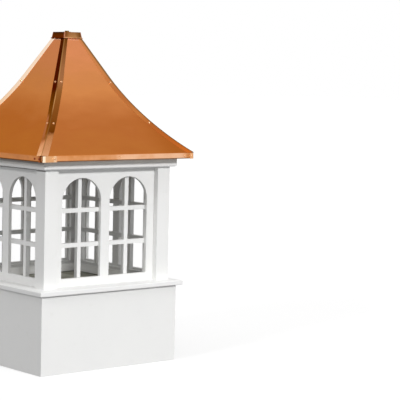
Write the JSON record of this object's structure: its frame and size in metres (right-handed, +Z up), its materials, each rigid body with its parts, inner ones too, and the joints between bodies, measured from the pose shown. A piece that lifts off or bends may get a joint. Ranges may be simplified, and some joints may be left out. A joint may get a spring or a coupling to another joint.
{
  "type": "barn cupola",
  "caption": "Square roof cupola on a plain box base, with arched glazed windows in each side and a flared copper roof.",
  "frame": {"origin": "middle of the footprint at the lower edge of the base", "axes": "+Z up, the front side faces -Y, +X to the right seen from the front"},
  "size_m": [1.033, 1.033, 1.8465],
  "materials": {
    "white_board": "smooth cellular PVC board",
    "clear_sheet": "clear acrylic sheet",
    "copper_sheet": "bright lacquered copper sheet",
    "copper_strip": "bright folded copper strip",
    "socket_brass": "turned, dull",
    "framing_wood": "planed softwood",
    "sheathing": "exterior plywood"
  },
  "bodies": {
    "root": {"base_front": "white_board", "base_right": "white_board", "base_back": "white_board", "base_left": "white_board", "sill_front": "white_board", "sill_right": "white_board", "sill_back": "white_board", "sill_left": "white_board", "post_front_left": "white_board", "post_front_right": "white_board", "post_back_right": "white_board", "post_back_left": "white_board", "window_front": "white_board", "window_right": "white_board", "window_back": "white_board", "window_left": "white_board", "crown_front": "white_board", "crown_right": "white_board", "crown_back": "white_board", "crown_left": "white_board", "glass_front": "clear_sheet", "glass_right": "clear_sheet", "glass_back": "clear_sheet", "glass_left": "clear_sheet", "roof_front": "copper_sheet", "roof_right": "copper_sheet", "roof_back": "copper_sheet", "roof_left": "copper_sheet", "eave_trim_front": "copper_sheet", "eave_trim_right": "copper_sheet", "eave_trim_back": "copper_sheet", "eave_trim_left": "copper_sheet", "hip_front_left": "copper_strip", "hip_front_right": "copper_strip", "hip_back_right": "copper_strip", "hip_back_left": "copper_strip", "corner_cleats": "framing_wood", "deck_board": "sheathing", "roof_board": "sheathing", "glass_beads": "white_board", "window_grilles": "white_board", "roof_cap": "copper_strip", "spindle_socket": "socket_brass"}
  },
  "joints": []
}
